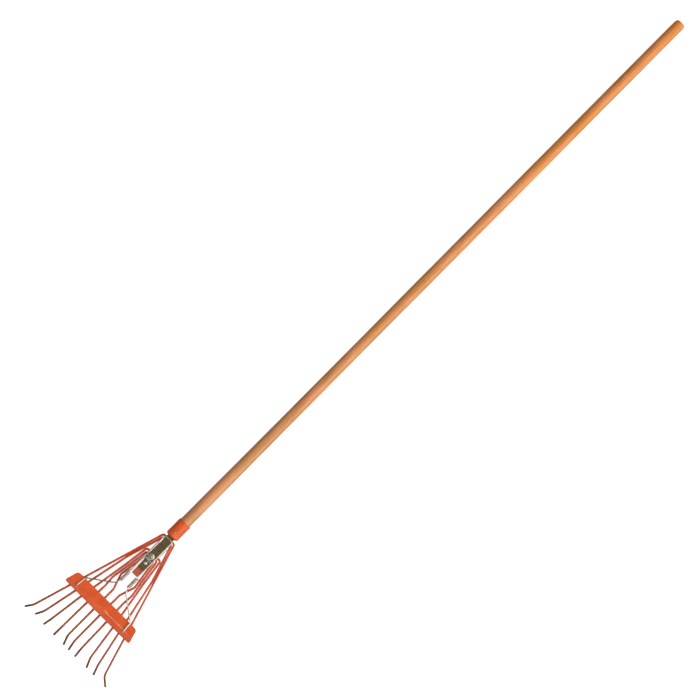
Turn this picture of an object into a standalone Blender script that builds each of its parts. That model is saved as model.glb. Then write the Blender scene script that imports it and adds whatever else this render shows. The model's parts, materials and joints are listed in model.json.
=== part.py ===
"""Leaf rake with a wooden handle, a wire-tine head and a coiled spring brace.

The model is built lying flat in the handle's own frame: +Y runs up the handle, -Y runs down
the head, +X is across and +Z is the upper side. D below is the distance from the ferrule's
mouth towards the tine tips, so a point at D lies at y = -D. At the end the whole rake is set
on the ground, on its tine tips and its butt, by the empty that every piece is parented to.
"""

import math

import bmesh
import bpy
from mathutils import Matrix, Vector

# ---------------------------------------------------------------- driving dimensions, metres
MM = 0.001
GAP = 0.3 * MM                      # between pieces that touch

HANDLE_R = 11.5 * MM                # in the ferrule and just above it
HANDLE_THIN_R = 10.8 * MM           # from the end of the taper to the butt
HANDLE_TAPER_D = (-60.0 * MM, -300.0 * MM)
HANDLE_BUTT_D = -1320.0 * MM
HANDLE_SOCKET_D = 33.0 * MM         # how deep the handle sits in the ferrule
HANDLE_CHAMFER = (2.0 * MM, 1.5 * MM)               # along and across, at the end in the ferrule
BUTT_ROUND = 8.0 * MM
BUTT_FLAT_R = 5.0 * MM

FERRULE_R = 13.3 * MM
FERRULE_LIP_R = 13.7 * MM
FERRULE_LIP_D = (2.0 * MM, 3.0 * MM)                # where the lip's slope starts and ends
FERRULE_END_D = 37.0 * MM
BORE_R = HANDLE_R + GAP
TONGUE_HALF_WIDTH = 7.0 * MM
TONGUE_THICKNESS = 2.6 * MM
TONGUE_END_D = 136.5 * MM
TONGUE_CORNER = 1.5 * MM
NAIL_D = 26.0 * MM
NAIL_R = 1.2 * MM
NAIL_LENGTH = 12.0 * MM
NAIL_POINT = 1.5 * MM
NAIL_HEAD = (2.2 * MM, 0.8 * MM)                    # radius and height, as for the heads below
NAIL_HOLE_R = 1.5 * MM

TINE_R = 2.15 * MM
ROOT_ROW_OUTER = (43.5 * MM, 48.1 * MM)             # D of the inward legs, tines 1-2 and 9-10
ROOT_ROW_INNER = (84.0 * MM, 88.6 * MM, 93.2 * MM)  # the same for tines 3-5 and 6-8
ROOT_LEG_X = (1.2 * MM, 3.5 * MM)                   # where the legs end, outer and inner rows
ROOT_CORNER_R = 5.0 * MM
HOOK_BEND_R = 13.0 * MM
HOOK_DEPTH = 26.0 * MM
HOOK_REACH = 20.0 * MM

CLAMP_TOP_D = 38.2 * MM
CLAMP_END_D = 120.0 * MM
CLAMP_FOOT_D = (97.5 * MM, 101.5 * MM)
CLAMP_HALF_WIDTH = 7.5 * MM
CLAMP_THICKNESS = 1.4 * MM
CLAMP_LIP_HEIGHT = 3.2 * MM
EAR_D = (60.0 * MM, 81.0 * MM)
EAR_HALF_WIDTH = (10.2 * MM, 10.5 * MM)             # at its fold and at its lower edge
EAR_DROP = 5.0 * MM
ROOT_CLEARANCE_D = 45.0 * MM
ROOT_CLEARANCE = (0.9 * MM, 2.0 * MM)               # above and below the wires at that D
ROOT_SLOPE = 1.1 / 47.0                             # the clamp rises towards the tips

BOLT_D = 90.0 * MM
BOLT_R = 2.9 * MM
BOLT_HEAD = (6.5 * MM, 3.0 * MM)
BOLT_STANDS_OUT = 1.6 * MM
BOLT_CHAMFER = 0.8 * MM
NUT_ACROSS_FLATS = 10.0 * MM
NUT_HEIGHT = 5.0 * MM
WASHER_R = 6.2 * MM
WASHER_THICKNESS = 1.0 * MM
RIVET_D = 106.2 * MM
RIVET_R = 1.9 * MM
RIVET_HEAD = (3.4 * MM, 1.5 * MM)

BRACE_R = 1.3 * MM
BRACE_HALF_WIDTH = 9.5 * MM
BRACE_LOOP_D = 43.0 * MM
COIL_CENTRE_X = 10.1 * MM
COIL_MEAN_R = 2.45 * MM
COIL_START_D = 131.5 * MM
COIL_PITCH = 3.4 * MM
COIL_DENSE_TURNS = 6.69
COIL_RAMP_TURNS = 0.3
COIL_RAMP_PITCH = 60.0 * MM
BRACE_BEND = (15.7 * MM, 173.0 * MM)
BRACE_AT_BAR = (60.0 * MM, 204.6 * MM)
BRACE_HOOK = (61.9 * MM, 226.5 * MM)
BRACE_OVER_RIDGE = 1.2 * MM
BRACE_TIP_Z = -1.0 * MM
BRACE_BENDS = (3.0 * MM, 4.0 * MM, 5.0 * MM, 2.2 * MM)  # at loop, below coil, at bar, at hook

BAR_D = (206.0 * MM, 223.0 * MM, 235.0 * MM)        # upper edge, ridge, lower edge
BAR_HALF_LENGTH = (78.0 * MM, 85.8 * MM)            # upper edge, lower edge
BAR_EDGE_Z = 4.8 * MM
BAR_RIDGE_Z = 6.6 * MM
BAR_FLANGE_Z = -4.6 * MM
BAR_THICKNESS = 1.4 * MM
BAR_FOLD = 1.0 * MM
TINE_HOLE_R = TINE_R + 0.7 * MM
HOOK_HOLE_R = BRACE_R + 0.5 * MM

ROUND_SIDES = 24
WIRE_SIDES = 8
ARC_STEP = math.radians(15.0)

# Each tine: D of its root leg, then its (x, D, bend radius) corners from there to the start of
# its hook in millimetres, then the x of the root corner in millimetres.
TINE_ROUTES = {
    "outer": (ROOT_ROW_OUTER[0], ((94.4, 309.0, 0.0),), 14.2),
    "second": (ROOT_ROW_OUTER[1], ((33.2, 121.0, 60.0), (71.9, 304.0, 0.0)), 10.8),
    "third": (ROOT_ROW_INNER[0],
              ((25.4, 137.0, 60.0), (43.2, 243.0, 60.0), (51.8, 304.0, 0.0)), 17.9),
    "fourth": (ROOT_ROW_INNER[1],
               ((20.6, 137.0, 60.0), (25.6, 168.0, 18.0), (24.0, 189.0, 18.0),
                (26.2, 242.0, 60.0), (27.4, 304.0, 0.0)), 13.4),
    "inner": (ROOT_ROW_INNER[2],
              ((14.8, 130.0, 60.0), (18.2, 153.0, 9.0), (8.2, 183.0, 16.0),
               (8.1, 242.0, 60.0), (8.3, 304.0, 0.0)), 9.2),
}
# name, which route, which side of the handle, hook heading in degrees away from the middle
TINES = (
    ("tine_1", "outer", -1, 40.0),
    ("tine_2", "second", -1, 34.0),
    ("tine_3", "third", -1, 19.0),
    ("tine_4", "fourth", -1, 10.0),
    ("tine_5", "inner", -1, -10.0),
    ("tine_6", "inner", 1, 2.0),
    ("tine_7", "fourth", 1, -3.0),
    ("tine_8", "third", 1, 14.0),
    ("tine_9", "second", 1, 10.0),
    ("tine_10", "outer", 1, 41.0),
)
UP = Vector((0.0, 0.0, 1.0))


# ---------------------------------------------------------------------------- general tools
def clear_scene():
    for obj in list(bpy.data.objects):
        bpy.data.objects.remove(obj, do_unlink=True)


def place(x, d, z):
    """A point from its distance across, down the head and up."""
    return Vector((x, -d, z))


def make_material(name, colour, roughness, metallic):
    material = bpy.data.materials.new(name)
    material.use_nodes = True
    shader = material.node_tree.nodes["Principled BSDF"]
    shader.inputs["Base Color"].default_value = (*colour, 1.0)
    shader.inputs["Roughness"].default_value = roughness
    shader.inputs["Metallic"].default_value = metallic
    return material


def add_object(name, bm, material, sharp_degrees=35.0):
    """Turn a bmesh into an object under the rake's empty."""
    bmesh.ops.recalc_face_normals(bm, faces=bm.faces)
    mesh = bpy.data.meshes.new(name)
    bm.to_mesh(mesh)
    bm.free()
    mesh.materials.append(material)
    mesh.shade_smooth()
    mesh.set_sharp_from_angle(angle=math.radians(sharp_degrees))
    obj = bpy.data.objects.new(name, mesh)
    bpy.context.scene.collection.objects.link(obj)
    obj.parent = bpy.data.objects["rake_frame"]
    return obj


def loft(rings, bm=None):
    """A closed body from rings with the same number of points, capped at both ends."""
    bm = bm or bmesh.new()
    loops = [[bm.verts.new(point) for point in ring] for ring in rings]
    count = len(loops[0])
    for low, high in zip(loops, loops[1:]):
        for i in range(count):
            j = (i + 1) % count
            bm.faces.new((low[i], low[j], high[j], high[i]))
    bm.faces.new(loops[0])
    bm.faces.new(loops[-1])
    return bm


def circle(centre, radius, axis_u, axis_v, sides):
    ring = []
    for i in range(sides):
        angle = 2.0 * math.pi * i / sides
        ring.append(centre + axis_u * (radius * math.cos(angle)) + axis_v * (radius * math.sin(angle)))
    return ring


def lathe(profile, base, axis, sides=ROUND_SIDES, bm=None):
    """Turn (along, radius) points about an axis through base."""
    axis = axis.normalized()
    axis_u = axis.orthogonal().normalized()
    axis_v = axis.cross(axis_u)
    return loft([circle(base + axis * along, radius, axis_u, axis_v, sides) for along, radius in profile], bm)


def round_corners(corners):
    """Points along straight runs joined by arcs; corners are (point, bend radius)."""
    points = [corners[0][0]]
    for (before, _), (corner, radius), (after, _) in zip(corners, corners[1:], corners[2:]):
        back = (before - corner).normalized()
        ahead = (after - corner).normalized()
        turn = math.pi - back.angle(ahead)
        if radius == 0.0 or turn < 1e-4:
            points.append(corner)
            continue
        reach = radius * math.tan(turn / 2.0)
        middle = (back + ahead).normalized()
        centre = corner + middle * (radius / math.cos(turn / 2.0))
        first = corner + back * reach - centre
        normal = first.cross(corner + ahead * reach - centre).normalized()
        steps = max(1, math.ceil(turn / ARC_STEP))
        for i in range(steps + 1):
            points.append(centre + Matrix.Rotation(turn * i / steps, 3, normal) @ first)
    points.append(corners[-1][0])
    return points


def sweep(points, radius, sides):
    """A round wire along points, its rings carried along without twist."""
    rings = []
    tangents = []
    for i, point in enumerate(points):
        before = points[max(i - 1, 0)]
        after = points[min(i + 1, len(points) - 1)]
        ahead = (after - point).normalized() if after != point else Vector()
        behind = (point - before).normalized() if before != point else Vector()
        tangents.append((ahead + behind).normalized())
    axis_u = tangents[0].orthogonal().normalized()
    for point, tangent in zip(points, tangents):
        axis_u = (axis_u - tangent * axis_u.dot(tangent)).normalized()
        rings.append(circle(point, radius, axis_u, tangent.cross(axis_u), sides))
    return loft(rings)


def cut(obj, cutter_bm, name):
    """Subtract a closed shape from an object."""
    cutter = add_object(name, cutter_bm, obj.data.materials[0])
    cutter.hide_render = True
    cutter.display_type = "WIRE"
    modifier = obj.modifiers.new(name, "BOOLEAN")
    modifier.operation = "DIFFERENCE"
    modifier.object = cutter
    modifier.solver = "EXACT"


def drill(obj, name, centre, radius, length, sides=12):
    """An upright round hole through an object."""
    profile = ((-length / 2.0, radius), (length / 2.0, radius))
    cut(obj, lathe(profile, centre, UP, sides), name)


def dome(start, head, steps=3):
    """(along, radius) points of a rounded head, given as (radius, height), that rises from start."""
    radius, height = head
    points = []
    for i in range(steps + 1):
        angle = 0.5 * math.pi * i / (steps + 0.6)
        points.append((start + height * math.sin(angle), radius * math.cos(angle)))
    return points


def dome_below(head):
    """The same head hanging down from zero, its points from the bottom up."""
    return [(-along, radius) for along, radius in reversed(dome(0.0, head))]


# --------------------------------------------------------------------- heights in the clamp
def tongue_top(d):
    return -TINE_R - ROOT_CLEARANCE[1] + ROOT_SLOPE * (d - ROOT_CLEARANCE_D)


def above_roots(d):
    return TINE_R + ROOT_CLEARANCE[0] + ROOT_SLOPE * (d - ROOT_CLEARANCE_D)


def clamp_underside(d):
    """The plate runs above the wire roots, then steps down to a foot on the tongue."""
    foot = tongue_top(d) + GAP
    step = min(max((d - CLAMP_FOOT_D[0]) / (CLAMP_FOOT_D[1] - CLAMP_FOOT_D[0]), 0.0), 1.0)
    return above_roots(d) + (foot - above_roots(d)) * step


def brace_z(d):
    """The brace lies along the plate, on its ears."""
    return above_roots(d) + CLAMP_THICKNESS + GAP + BRACE_R


# ------------------------------------------------------------------------------- the pieces
def make_handle(wood):
    """A turned pole, a little thinner above its lower end, with a domed butt."""
    chamfer_along, chamfer_across = HANDLE_CHAMFER
    profile = [
        (-HANDLE_SOCKET_D, HANDLE_R - chamfer_across),
        (-HANDLE_SOCKET_D + chamfer_along, HANDLE_R),
        (-HANDLE_TAPER_D[0], HANDLE_R),
        (-HANDLE_TAPER_D[1], HANDLE_THIN_R),
    ]
    round_start = -HANDLE_BUTT_D - BUTT_ROUND
    for share in (0.35, 0.7):
        y = -HANDLE_TAPER_D[1] + (round_start + HANDLE_TAPER_D[1]) * share
        profile.append((y, HANDLE_THIN_R))
    steps = 5
    for i in range(steps + 1):
        angle = 0.5 * math.pi * i / steps
        radius = BUTT_FLAT_R + (HANDLE_THIN_R - BUTT_FLAT_R) * math.cos(angle)
        profile.append((round_start + BUTT_ROUND * math.sin(angle), radius))
    handle = add_object("handle", lathe(profile, Vector(), Vector((0, 1, 0))), wood)
    drill(handle, "nail_hole_in_handle", place(0, NAIL_D, HANDLE_R), NAIL_HOLE_R, 2.0 * NAIL_LENGTH)
    return handle


def ferrule_ring(d, half_width, half_height, centre_z, squareness):
    """A ring between a circle (squareness 2) and a flat bar (squareness 8)."""
    ring = []
    for i in range(ROUND_SIDES):
        angle = 2.0 * math.pi * (i + 0.5) / ROUND_SIDES
        c = math.cos(angle)
        s = math.sin(angle)
        x = half_width * math.copysign(abs(c) ** (2.0 / squareness), c)
        z = half_height * math.copysign(abs(s) ** (2.0 / squareness), s)
        ring.append(place(x, d, centre_z + z))
    return ring


def make_ferrule(paint):
    """A socket for the handle, domed shut below it and drawn out into a flat tongue."""
    half_thick = TONGUE_THICKNESS / 2.0
    chamfer_along, chamfer_across = HANDLE_CHAMFER
    bottom = HANDLE_SOCKET_D + GAP
    rings = [ferrule_ring(d, r, r, 0.0, 2.0) for d, r in (
        (bottom, BORE_R - chamfer_across),
        (bottom - chamfer_along, BORE_R),
        (0.0, BORE_R),
        (0.0, FERRULE_LIP_R),
        (FERRULE_LIP_D[0], FERRULE_LIP_R),
        (FERRULE_LIP_D[1], FERRULE_R),
        (FERRULE_END_D - 3.0 * MM, FERRULE_R),
        (FERRULE_END_D - 0.8 * MM, FERRULE_R - 1.0 * MM),
    )]
    rings.append(ferrule_ring(FERRULE_END_D + 0.3 * MM, 10.2 * MM, 8.5 * MM, -1.6 * MM, 2.4))
    neck = FERRULE_END_D + 1.4 * MM
    rings.append(ferrule_ring(neck, 8.0 * MM, 2.4 * MM, tongue_top(neck) - half_thick, 4.0))
    for d, half_width in (
        (FERRULE_END_D + 3.0 * MM, TONGUE_HALF_WIDTH),
        (TONGUE_END_D - TONGUE_CORNER, TONGUE_HALF_WIDTH),
        (TONGUE_END_D, TONGUE_HALF_WIDTH - TONGUE_CORNER),
    ):
        rings.append(ferrule_ring(d, half_width, half_thick, tongue_top(d) - half_thick, 8.0))
    ferrule = add_object("ferrule", loft(rings), paint)
    drill(ferrule, "nail_hole", place(0, NAIL_D, FERRULE_R), NAIL_HOLE_R, 8.0 * MM)
    for name, d, radius in (("bolt", BOLT_D, BOLT_R), ("rivet", RIVET_D, RIVET_R)):
        drill(ferrule, name + "_hole_in_tongue", place(0, d, tongue_top(d)), radius + GAP, 12.0 * MM)
    return ferrule


def make_nail(steel):
    """The nail that holds the handle in the ferrule, head on the upper side."""
    profile = [(-NAIL_LENGTH, NAIL_R * 0.3), (-NAIL_LENGTH + NAIL_POINT, NAIL_R), (0.0, NAIL_R)]
    profile += dome(0.0, NAIL_HEAD)
    return add_object("ferrule_nail", lathe(profile, place(0, NAIL_D, FERRULE_R + GAP), UP, 12), steel)


def make_clamp_plate(chrome):
    """A folded strip with a lip at its top end, two ears and a stepped foot."""
    stations = [(CLAMP_TOP_D, CLAMP_LIP_HEIGHT), (CLAMP_TOP_D, 0.0)]
    for d in (EAR_D[0], EAR_D[1], CLAMP_FOOT_D[0], CLAMP_FOOT_D[1], CLAMP_END_D):
        stations.append((d, 0.0))
    bm = bmesh.new()
    rows = []
    for d, lift in stations:
        z = clamp_underside(d) + lift
        rows.append([bm.verts.new(place(x, d, z)) for x in (-CLAMP_HALF_WIDTH, CLAMP_HALF_WIDTH)])
    for low, high in zip(rows, rows[1:]):
        bm.faces.new((low[0], low[1], high[1], high[0]))
    for side, column in ((-1, 0), (1, 1)):
        edge = [rows[2][column], rows[3][column]]
        for x, drop in zip(EAR_HALF_WIDTH, (0.0, EAR_DROP)):
            new = [bm.verts.new(place(side * x, d, clamp_underside(d) - drop)) for d in EAR_D]
            bm.faces.new((edge[0], edge[1], new[1], new[0]))
            edge = new
    bmesh.ops.recalc_face_normals(bm, faces=bm.faces)
    if bm.faces[:][2].normal.z < 0.0:
        bmesh.ops.reverse_faces(bm, faces=bm.faces)
    bmesh.ops.solidify(bm, geom=bm.faces[:], thickness=-CLAMP_THICKNESS)
    plate = add_object("clamp_plate", bm, chrome)
    for name, d, radius in (("bolt", BOLT_D, BOLT_R), ("rivet", RIVET_D, RIVET_R)):
        drill(plate, name + "_hole_in_clamp", place(0, d, clamp_underside(d)), radius + GAP, 8.0 * MM)
    return plate


def make_bolt(steel, washer_z):
    """Round-headed bolt: its head under the tongue, its end standing out of the nut."""
    under = tongue_top(BOLT_D) - TONGUE_THICKNESS - 2.0 * GAP
    length = washer_z + WASHER_THICKNESS + GAP + NUT_HEIGHT + BOLT_STANDS_OUT - under
    profile = dome_below(BOLT_HEAD)
    profile += [(0.0, BOLT_R), (length - BOLT_CHAMFER, BOLT_R), (length, BOLT_R - BOLT_CHAMFER)]
    return add_object("clamp_bolt", lathe(profile, place(0, BOLT_D, under), UP, 16), steel)


def make_washer(steel, washer_z):
    disc = lathe(((0.0, WASHER_R), (WASHER_THICKNESS, WASHER_R)), place(0, BOLT_D, washer_z), UP, 20)
    washer = add_object("clamp_washer", disc, steel)
    drill(washer, "washer_hole", place(0, BOLT_D, washer_z), BOLT_R + GAP, 8.0 * MM, 16)
    return washer


def make_nut(steel, nut_z):
    """A hexagon nut with its corners taken off at both ends."""
    corner_r = NUT_ACROSS_FLATS / math.sqrt(3.0)
    end_r = 0.93 * corner_r
    chamfer = 0.5 * MM
    profile = ((0.0, end_r), (chamfer, corner_r), (NUT_HEIGHT - chamfer, corner_r), (NUT_HEIGHT, end_r))
    nut = add_object("clamp_nut", lathe(profile, place(0, BOLT_D, nut_z), UP, 6), steel)
    drill(nut, "nut_hole", place(0, BOLT_D, nut_z + NUT_HEIGHT / 2.0), BOLT_R + GAP, 16.0 * MM, 16)
    return nut


def make_rivet(steel):
    bottom = tongue_top(RIVET_D) - TONGUE_THICKNESS - GAP
    length = clamp_underside(RIVET_D) + CLAMP_THICKNESS + GAP - bottom
    profile = dome_below(RIVET_HEAD)
    profile += [(0.0, RIVET_R), (length, RIVET_R)]
    profile += dome(length, RIVET_HEAD)
    return add_object("clamp_rivet", lathe(profile, place(0, RIVET_D, bottom), UP, 16), steel)


def tine_path(route, side, heading_degrees):
    root_d, corners, corner_x = TINE_ROUTES[route]
    leg_x = ROOT_LEG_X[0 if route in ("outer", "second") else 1]
    path = [(place(side * leg_x, root_d, 0.0), 0.0)]
    path.append((place(side * corner_x * MM, root_d, 0.0), ROOT_CORNER_R))
    for x, d, radius in corners:
        path.append((place(side * x * MM, d * MM, 0.0), radius * MM))
    hook, _ = path.pop()
    path.append((hook, HOOK_BEND_R))
    heading = math.radians(heading_degrees)
    tip = hook + Vector((side * HOOK_REACH * math.sin(heading), -HOOK_REACH * math.cos(heading), -HOOK_DEPTH))
    path.append((tip, 0.0))
    return round_corners(path)


def make_tine(name, route, side, heading_degrees, paint):
    return add_object(name, sweep(tine_path(route, side, heading_degrees), TINE_R, WIRE_SIDES), paint)


def bar_ring(side):
    """The bar's folded section at one end, slanted because its lower edge is longer."""
    upper, ridge, lower = BAR_D
    t = BAR_THICKNESS
    outline = [
        (upper, BAR_FLANGE_Z), (upper, BAR_EDGE_Z - BAR_FOLD), (upper + BAR_FOLD, BAR_EDGE_Z),
        (ridge, BAR_RIDGE_Z), (lower - BAR_FOLD, BAR_EDGE_Z), (lower, BAR_EDGE_Z - BAR_FOLD),
        (lower, BAR_FLANGE_Z), (lower - t, BAR_FLANGE_Z), (lower - t, BAR_EDGE_Z - t),
        (ridge, BAR_RIDGE_Z - t), (upper + t, BAR_EDGE_Z - t), (upper + t, BAR_FLANGE_Z),
    ]
    ring = []
    for d, z in outline:
        share = (d - upper) / (lower - upper)
        half_length = BAR_HALF_LENGTH[0] + (BAR_HALF_LENGTH[1] - BAR_HALF_LENGTH[0]) * share
        ring.append(place(side * half_length, d, z))
    return ring


def tine_x_at(d, route, side, heading_degrees):
    """Where a tine's straight run crosses a given D."""
    path = tine_path(route, side, heading_degrees)
    for low, high in zip(path, path[1:]):
        if -low.y <= d < -high.y:
            return low.x + (high.x - low.x) * (d + low.y) / (low.y - high.y)
    raise ValueError("the tine does not reach this far down")


def make_spreader_bar(paint):
    """A folded channel: the tines pass through holes in both of its flanges."""
    bar = add_object("spreader_bar", loft([bar_ring(-1), bar_ring(1)]), paint, 25.0)
    holes = bmesh.new()
    for flange_d in (BAR_D[0] + BAR_THICKNESS / 2.0, BAR_D[2] - BAR_THICKNESS / 2.0):
        for _, route, side, heading_degrees in TINES:
            centre = place(tine_x_at(flange_d, route, side, heading_degrees), flange_d, 0.0)
            along = ((-2.0 * BAR_THICKNESS, TINE_HOLE_R), (2.0 * BAR_THICKNESS, TINE_HOLE_R))
            lathe(along, centre, Vector((0, 1, 0)), 12, holes)
    cut(bar, holes, "tine_holes")
    hooks = bmesh.new()
    for side in (-1, 1):
        centre = place(side * BRACE_HOOK[0], BRACE_HOOK[1], BAR_RIDGE_Z)
        lathe(((-4.0 * MM, HOOK_HOLE_R), (4.0 * MM, HOOK_HOLE_R)), centre, UP, 12, hooks)
    cut(bar, hooks, "hook_holes")
    return bar


def coil_points(side):
    """A close coil about an axis along the handle, with open turns leading in and out."""
    entry_z = brace_z(COIL_START_D)
    centre_z = entry_z - math.sqrt(COIL_MEAN_R ** 2 - (COIL_CENTRE_X - BRACE_HALF_WIDTH) ** 2)
    entry = math.atan2(entry_z - centre_z, BRACE_HALF_WIDTH - COIL_CENTRE_X)
    turns = COIL_DENSE_TURNS + 2.0 * COIL_RAMP_TURNS
    steps = round(turns * 12)
    points = []
    d = COIL_START_D
    for i in range(steps + 1):
        turn = turns * i / steps
        angle = entry - 2.0 * math.pi * turn
        x = COIL_CENTRE_X + COIL_MEAN_R * math.cos(angle)
        points.append(place(side * x, d, centre_z + COIL_MEAN_R * math.sin(angle)))
        middle = turns * (i + 0.5) / steps
        from_end = min(middle, turns - middle)
        ramp = max(0.0, 1.0 - from_end / COIL_RAMP_TURNS)
        pitch = COIL_PITCH + (COIL_RAMP_PITCH - COIL_PITCH) * ramp ** 2
        d += pitch * turns / steps
    return points


def brace_half(side):
    """From the middle of the loop to the end of one hook."""
    coil = coil_points(side)
    loop_z = brace_z(BRACE_LOOP_D)
    at_loop, below_coil, at_bar, at_hook = BRACE_BENDS
    start = [
        (place(0, BRACE_LOOP_D, loop_z), 0.0),
        (place(side * BRACE_HALF_WIDTH, BRACE_LOOP_D, loop_z), at_loop),
        (coil[0], 0.0),
    ]
    hook_x, hook_d = BRACE_HOOK
    leg = [
        (coil[-1], 0.0),
        (place(side * BRACE_BEND[0], BRACE_BEND[1], coil[-1].z), below_coil),
        (place(side * BRACE_AT_BAR[0], BRACE_AT_BAR[1], BAR_EDGE_Z + BRACE_R + 2.0 * GAP), at_bar),
        (place(side * hook_x, hook_d, BAR_RIDGE_Z + BRACE_R + BRACE_OVER_RIDGE), at_hook),
        (place(side * hook_x, hook_d, BRACE_TIP_Z), 0.0),
    ]
    return round_corners(start) + coil[1:] + round_corners(leg)[1:]


def make_spring_brace(steel):
    left = brace_half(-1)
    right = brace_half(1)
    return add_object("spring_brace", sweep(left[::-1] + right[1:], BRACE_R, WIRE_SIDES), steel, 60.0)


# ---------------------------------------------------------------------------- setting it down
def set_on_ground(frame, pieces):
    """Tip the rake onto its tine tips and its butt, and centre its box on the origin."""
    tip = min((v.co for piece in pieces for v in piece.data.vertices), key=lambda co: co.z)
    butt = min(
        (v.co for v in bpy.data.objects["handle"].data.vertices if v.co.y > -HANDLE_BUTT_D - BUTT_ROUND - MM),
        key=lambda co: co.z)
    frame.rotation_euler = (-math.atan2(butt.z - tip.z, butt.y - tip.y), 0.0, 0.0)
    turn = frame.rotation_euler.to_matrix()
    corners = [turn @ v.co for piece in pieces for v in piece.data.vertices]
    middle_x = (min(c.x for c in corners) + max(c.x for c in corners)) / 2.0
    middle_y = (min(c.y for c in corners) + max(c.y for c in corners)) / 2.0
    frame.location = (-middle_x, -middle_y, -min(c.z for c in corners))


def main():
    clear_scene()
    frame = bpy.data.objects.new("rake_frame", None)
    bpy.context.scene.collection.objects.link(frame)

    wood = make_material("varnished_wood", (0.62, 0.33, 0.13), 0.45, 0.0)
    paint = make_material("orange_paint", (0.70, 0.12, 0.03), 0.40, 0.0)
    plated = make_material("plated_steel", (0.55, 0.54, 0.50), 0.25, 1.0)
    zinc = make_material("zinc_steel", (0.62, 0.62, 0.60), 0.35, 1.0)

    washer_z = clamp_underside(BOLT_D) + CLAMP_THICKNESS + 2.0 * GAP
    pieces = [make_handle(wood), make_ferrule(paint), make_nail(zinc), make_clamp_plate(plated)]
    pieces += [make_bolt(zinc, washer_z), make_washer(zinc, washer_z)]
    pieces += [make_nut(zinc, washer_z + WASHER_THICKNESS + GAP), make_rivet(zinc)]
    pieces += [make_tine(*tine, paint) for tine in TINES]
    pieces += [make_spreader_bar(paint), make_spring_brace(plated)]
    set_on_ground(frame, pieces)


main()
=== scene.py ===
import json
import math

import bmesh
import bpy
from mathutils import Matrix, Vector


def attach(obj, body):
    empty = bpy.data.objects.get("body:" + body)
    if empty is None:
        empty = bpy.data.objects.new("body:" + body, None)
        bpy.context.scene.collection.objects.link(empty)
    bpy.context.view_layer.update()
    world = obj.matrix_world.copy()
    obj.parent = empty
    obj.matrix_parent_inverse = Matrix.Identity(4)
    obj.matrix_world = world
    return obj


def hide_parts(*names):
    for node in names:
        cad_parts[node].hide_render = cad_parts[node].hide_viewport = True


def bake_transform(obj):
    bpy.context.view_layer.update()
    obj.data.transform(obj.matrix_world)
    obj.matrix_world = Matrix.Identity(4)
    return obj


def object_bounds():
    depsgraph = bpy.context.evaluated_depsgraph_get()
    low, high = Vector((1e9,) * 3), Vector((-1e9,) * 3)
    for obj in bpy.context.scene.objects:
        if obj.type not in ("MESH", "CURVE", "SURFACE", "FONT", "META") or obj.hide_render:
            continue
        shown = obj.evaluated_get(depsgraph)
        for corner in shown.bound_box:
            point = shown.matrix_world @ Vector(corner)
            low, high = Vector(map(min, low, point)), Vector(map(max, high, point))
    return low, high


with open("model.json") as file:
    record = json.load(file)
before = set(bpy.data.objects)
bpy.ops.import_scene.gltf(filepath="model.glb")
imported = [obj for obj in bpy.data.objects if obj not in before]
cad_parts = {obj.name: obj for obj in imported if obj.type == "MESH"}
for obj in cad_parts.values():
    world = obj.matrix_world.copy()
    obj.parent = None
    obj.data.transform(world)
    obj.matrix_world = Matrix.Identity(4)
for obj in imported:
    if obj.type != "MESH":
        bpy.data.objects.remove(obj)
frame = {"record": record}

# Looks for the leaf rake. Every piece is built in the handle's own frame: x across the head,
# D down the head from the ferrule's mouth to the tine tips, z towards the upper side.

CAD_BOX = [list(corner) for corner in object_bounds()]

# ---------------------------------------------------------------- the CAD's driving dimensions
# Metres, by way of MM. The values without it are millimetres for the routes of the wires.
MM = 0.001
BUTT_D = -1320.0 * MM
HANDLE_R = 11.5 * MM
HANDLE_THIN_R = 10.8 * MM
HANDLE_TAPER_D = (-60.0 * MM, -300.0 * MM)
SOCKET_D = 33.0 * MM
BUTT_ROUND = 8.0 * MM
BUTT_FLAT_R = 5.0 * MM

FERRULE_R = 13.3 * MM
FERRULE_LIP_R = 13.7 * MM
FERRULE_END_D = 37.0 * MM
TONGUE_HALF_WIDTH = 7.0 * MM
TONGUE_THICKNESS = 2.6 * MM
TONGUE_END_D = 136.5 * MM
NAIL_D = 26.0 * MM
NAIL_HEAD = (2.2 * MM, 0.8 * MM)

TINE_R = 2.15 * MM
ROOT_ROW_OUTER = (43.5, 48.1)
ROOT_ROW_INNER = (84.0, 88.6, 93.2)
ROOT_LEG_X = (1.2, 3.5)
ROOT_CORNER_R = 5.0
HOOK_BEND_R = 13.0
HOOK_DEPTH = 26.0 * MM
HOOK_REACH = 20.0 * MM

CLAMP_TOP_D = 38.2 * MM
CLAMP_END_D = 120.0 * MM
CLAMP_FOOT_D = (97.5 * MM, 101.5 * MM)
CLAMP_HALF_WIDTH = 7.5 * MM
CLAMP_THICKNESS = 1.4 * MM
CLAMP_LIP_HEIGHT = 3.2 * MM
EAR_D = (60.0 * MM, 81.0 * MM)
EAR_HALF_WIDTH = 10.5 * MM
EAR_DROP = 5.0 * MM
ROOT_CLEARANCE_D = 45.0 * MM
ROOT_CLEARANCE = (0.9 * MM, 2.0 * MM)
ROOT_SLOPE = 1.1 / 47.0
GAP = 0.3 * MM

BOLT_D = 90.0 * MM
BOLT_R = 2.9 * MM
NUT_ACROSS_FLATS = 10.0 * MM
NUT_HEIGHT = 5.0 * MM
WASHER_R = 6.2 * MM
WASHER_THICKNESS = 1.0 * MM
BOLT_HEAD = (6.5 * MM, 3.0 * MM)           # radius and height, as for the other heads
RIVET_D = 106.2 * MM
RIVET_HEAD = (3.4 * MM, 1.5 * MM)

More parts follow.
